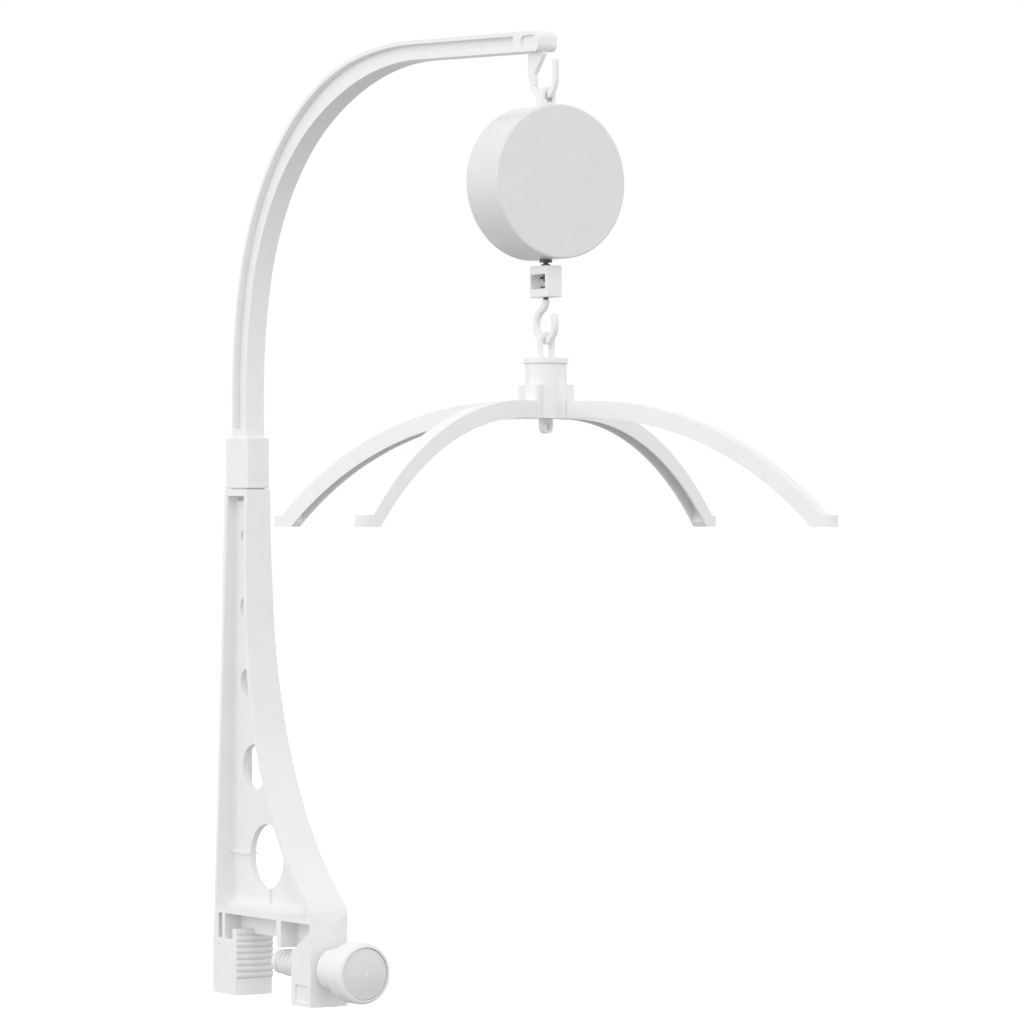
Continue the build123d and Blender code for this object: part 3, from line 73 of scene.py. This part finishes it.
def surface(name, color, dark, wear, roughness, spread, bump, grain, metallic=0.0, stretch=(1, 1, 1)):
    """Procedural surface: mottled colour, uneven gloss, fine bump and worn edges."""
    material = bpy.data.materials.new(name)
    material.use_nodes = True
    tree = material.node_tree
    shader = tree.nodes["Principled BSDF"]
    shader.inputs["Metallic"].default_value = metallic
    shader.inputs["IOR"].default_value = 1.49
    where = object_coords(tree, stretch)

    broad = node(tree, "ShaderNodeTexNoise", -950, 300)
    broad.inputs["Scale"].default_value = grain * 0.03
    broad.inputs["Detail"].default_value = 1.0
    tree.links.new(where, broad.inputs["Vector"])
    tone = node(tree, "ShaderNodeValToRGB", -700, 300)
    tone.color_ramp.elements[0].position = 0.30
    tone.color_ramp.elements[0].color = (*dark, 1)
    tone.color_ramp.elements[1].position = 0.62
    tone.color_ramp.elements[1].color = (*color, 1)
    tree.links.new(broad.outputs["Fac"], tone.inputs["Fac"])

    geometry = node(tree, "ShaderNodeNewGeometry", -950, 650)
    edge = node(tree, "ShaderNodeMapRange", -700, 650)
    edge.inputs["From Min"].default_value = 0.56
    edge.inputs["From Max"].default_value = 0.75
    tree.links.new(geometry.outputs["Pointiness"], edge.inputs["Value"])
    mix = node(tree, "ShaderNodeMix", -400, 450, data_type="RGBA")
    mix.inputs["B"].default_value = (*wear, 1)
    tree.links.new(edge.outputs["Result"], mix.inputs["Factor"])
    tree.links.new(tone.outputs["Color"], mix.inputs["A"])
    tree.links.new(mix.outputs["Result"], shader.inputs["Base Color"])

    smudge = node(tree, "ShaderNodeTexNoise", -950, 0)
    smudge.inputs["Scale"].default_value = grain * 0.12
    smudge.inputs["Detail"].default_value = 2.0
    tree.links.new(where, smudge.inputs["Vector"])
    gloss = node(tree, "ShaderNodeMapRange", -700, 0)
    gloss.inputs["From Min"].default_value = 0.3
    gloss.inputs["From Max"].default_value = 0.7
    gloss.inputs["To Min"].default_value = roughness - spread
    gloss.inputs["To Max"].default_value = roughness + spread
    tree.links.new(smudge.outputs["Fac"], gloss.inputs["Value"])
    tree.links.new(gloss.outputs["Result"], shader.inputs["Roughness"])

    fine = node(tree, "ShaderNodeTexNoise", -950, -350)
    fine.inputs["Scale"].default_value = grain
    fine.inputs["Detail"].default_value = 4.0
    tree.links.new(where, fine.inputs["Vector"])
    relief = node(tree, "ShaderNodeBump", -400, -350)
    relief.inputs["Strength"].default_value = bump
    relief.inputs["Distance"].default_value = 0.0001
    tree.links.new(fine.outputs["Fac"], relief.inputs["Height"])
    tree.links.new(relief.outputs["Normal"], shader.inputs["Normal"])
    return material


plastic = surface("white plastic", WHITE, dark=(0.852, 0.853, 0.864), wear=(0.90, 0.90, 0.90),
                  roughness=0.34, spread=0.05, bump=0.16, grain=2600)
shell = surface("music box plastic", SHELL_WHITE, dark=(0.745, 0.746, 0.757), wear=(0.82, 0.82, 0.82),
                roughness=0.24, spread=0.04, bump=0.06, grain=2200)
grip = surface("grip rubber", GRIP_WHITE, dark=(0.81, 0.81, 0.82), wear=(0.87, 0.87, 0.87),
               roughness=0.58, spread=0.08, bump=0.4, grain=3800)
steel = surface("steel", STEEL_GREY, dark=(0.50, 0.51, 0.53), wear=(0.75, 0.75, 0.76),
                roughness=0.32, spread=0.10, bump=0.3, grain=3000, metallic=1.0, stretch=BRUSHED)
# its near-black base colour is painted shade, standing in for the shadow inside the music box
dark_steel = surface("steel darkened as painted shade", PAINTED_SHADE_STEEL, dark=(0.06, 0.06, 0.065), wear=(0.22, 0.22, 0.23),
                     roughness=0.30, spread=0.08, bump=0.2, grain=2600, metallic=1.0, stretch=BRUSHED)
brass = surface("brass", BRASS, dark=(0.60, 0.42, 0.18), wear=(0.85, 0.68, 0.36),
                roughness=0.30, spread=0.10, bump=0.25, grain=2600, metallic=1.0)

BY_SLOT = {"white_plastic": plastic, "case_plastic": shell, "steel": steel, "dark_steel": dark_steel,
           "brass": brass, "grip": grip}
# edge rounding in millimetres; every other piece has SMALL_EDGE
SMALL_EDGE = 0.25
EDGE_R = {"lower_bracket": 0.9, "upper_arm": 0.7, "front_shell": 0.5, "hub_body": 0.6,
          "cross_arm_1": 0.6, "cross_arm_2": 0.6, "cross_arm_3": 0.6, "cross_arm_4": 0.6,
          "jaw_grip_pad": 0.3, "joint_sleeve": 0.3}
SHARP = math.radians(28)
SMOOTH_BELOW = math.radians(24)
FLAT_WITHIN = math.radians(0.6)


def soften(piece, radius_mm):
    """Join flat faces, round the sharp edges a little and shade the rest smooth."""
    flat = piece.modifiers.new("flat faces", "DECIMATE")
    flat.decimate_type = "DISSOLVE"
    flat.angle_limit = FLAT_WITHIN
    edges = piece.modifiers.new("rounded edges", "BEVEL")
    edges.width = radius_mm * MM
    edges.segments = 3
    edges.limit_method = "ANGLE"
    edges.angle_limit = SHARP
    edges.use_clamp_overlap = True
    edges.harden_normals = False
    for face in piece.data.polygons:
        face.use_smooth = True
    piece.data.set_sharp_from_angle(angle=SMOOTH_BELOW)
    normals = piece.modifiers.new("face normals", "WEIGHTED_NORMAL")
    normals.keep_sharp = True


slots = {entry["node"]: entry["material_slot"] for entry in frame["record"]["subparts"]}
for name, piece in frame["nodes"].items():
    piece.data.materials.clear()
    piece.data.materials.append(BY_SLOT[slots[name]])
    soften(piece, EDGE_R.get(name, SMALL_EDGE))

# ---------------------------------------------------------------- studio
FLOOR_DROP = 0.35           # metres below the object
FLOOR_SIZE = 60


def studio_floor():
    """A wide pale floor, bright enough to read as a white sweep."""
    bpy.ops.mesh.primitive_plane_add(size=FLOOR_SIZE, location=(0.3, 0, CAD_BOX[0][2] - FLOOR_DROP))
    floor = bpy.context.object
    floor.name = "floor"
    paint = bpy.data.materials.new("studio floor")
    paint.use_nodes = True
    shader = paint.node_tree.nodes["Principled BSDF"]
    shader.inputs["Base Color"].default_value = (0.9, 0.9, 0.9, 1)
    shader.inputs["Roughness"].default_value = 0.9
    shader.inputs["Emission Color"].default_value = (1, 1, 1, 1)
    shader.inputs["Emission Strength"].default_value = 0.55
    floor.data.materials.append(paint)
    floor.visible_diffuse = False
    floor.visible_glossy = False


studio_floor()


def area_light(name, place, aim, size, power):
    """A soft square light that points at a place."""
    data = bpy.data.lights.new(name, "AREA")
    data.size = size
    data.energy = power
    lamp = bpy.data.objects.new(name, data)
    lamp.location = place
    lamp.rotation_euler = (Vector(aim) - Vector(place)).to_track_quat("-Z", "Y").to_euler()
    bpy.context.collection.objects.link(lamp)


MIDDLE = (0.2, 0.0, 0.3)
area_light("key", place=(2.2, -0.9, 1.7), aim=MIDDLE, size=1.6, power=11)
area_light("left", place=(-0.6, -2.4, 1.1), aim=MIDDLE, size=1.5, power=12)

BELOW = 0.50                # brightness under the horizon
ABOVE = 0.90                # and overhead
DIM_UP_TO = 0.36
WHITE_FROM = 0.47
WHITE_TO = 0.60


def studio_walls():
    """White all round at eye level, softer overhead and dim below."""
    world = bpy.data.worlds.new("studio")
    bpy.context.scene.world = world
    world.use_nodes = True
    tree = world.node_tree
    coords = node(tree, "ShaderNodeTexCoord", -900, 0)
    parts = node(tree, "ShaderNodeSeparateXYZ", -700, 0)
    height = node(tree, "ShaderNodeMapRange", -500, 0)
    height.inputs["From Min"].default_value = -1.0
    ramp = node(tree, "ShaderNodeValToRGB", -300, 0)
    ramp.color_ramp.elements[0].position = 0.0
    ramp.color_ramp.elements[0].color = (BELOW, BELOW, BELOW, 1)
    ramp.color_ramp.elements[1].position = 1.0
    ramp.color_ramp.elements[1].color = (ABOVE, ABOVE, ABOVE, 1)
    # heights run from 0 straight down, through 0.5 at eye level, to 1 straight up
    for place, level in ((DIM_UP_TO, BELOW), (WHITE_FROM, 1.0), (WHITE_TO, 1.0)):
        stop = ramp.color_ramp.elements.new(place)
        stop.color = (level, level, level, 1)
    tree.links.new(coords.outputs["Generated"], parts.inputs["Vector"])
    tree.links.new(parts.outputs["Z"], height.inputs["Value"])
    tree.links.new(height.outputs["Result"], ramp.inputs["Fac"])
    tree.links.new(ramp.outputs["Color"], tree.nodes["Background"].inputs["Color"])
    tree.nodes["Background"].inputs["Strength"].default_value = 1.0


studio_walls()
bpy.context.scene.view_settings.view_transform = "Standard"

camera_data = bpy.data.cameras.new("camera")
camera_data.lens = LENS_MM
camera_data.sensor_width = 36
camera_data.clip_end = 50
camera = bpy.data.objects.new("camera", camera_data)
camera.location = CAMERA_AT
camera.rotation_euler = (LOOK_AT - CAMERA_AT).to_track_quat("-Z", "Y").to_euler()
bpy.context.collection.objects.link(camera)
bpy.context.scene.camera = camera
